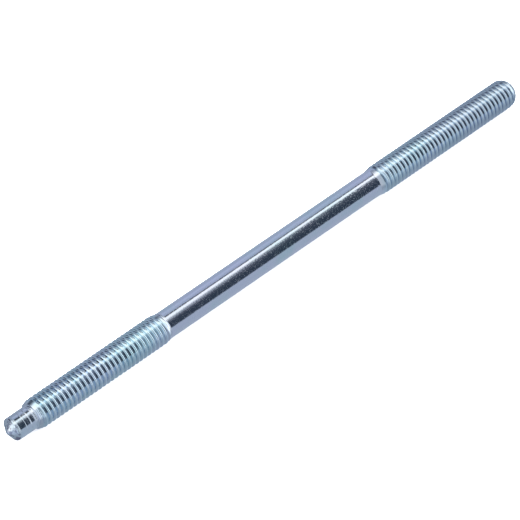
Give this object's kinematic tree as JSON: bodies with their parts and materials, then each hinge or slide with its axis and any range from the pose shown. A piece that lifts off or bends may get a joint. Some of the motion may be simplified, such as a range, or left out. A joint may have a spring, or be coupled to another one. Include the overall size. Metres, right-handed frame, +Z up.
{
  "type": "cylinder head stud",
  "caption": "Slim zinc-plated stud threaded at both ends, with a plain shank and a pilot point; it clamps a small engine's cylinder head and barrel to the crankcase.",
  "frame": {"origin": "on the axis where the full thread of the case end stops, level with the deck of the crankcase", "axes": "+X along the axis from the case end to the nut end, +Z up as the stud lies"},
  "size_m": [0.13, 0.006, 0.006],
  "materials": {
    "zinc_plated_steel": "bright blue-passivated zinc plating"
  },
  "bodies": {
    "root": {"stud": "zinc_plated_steel"}
  },
  "joints": []
}
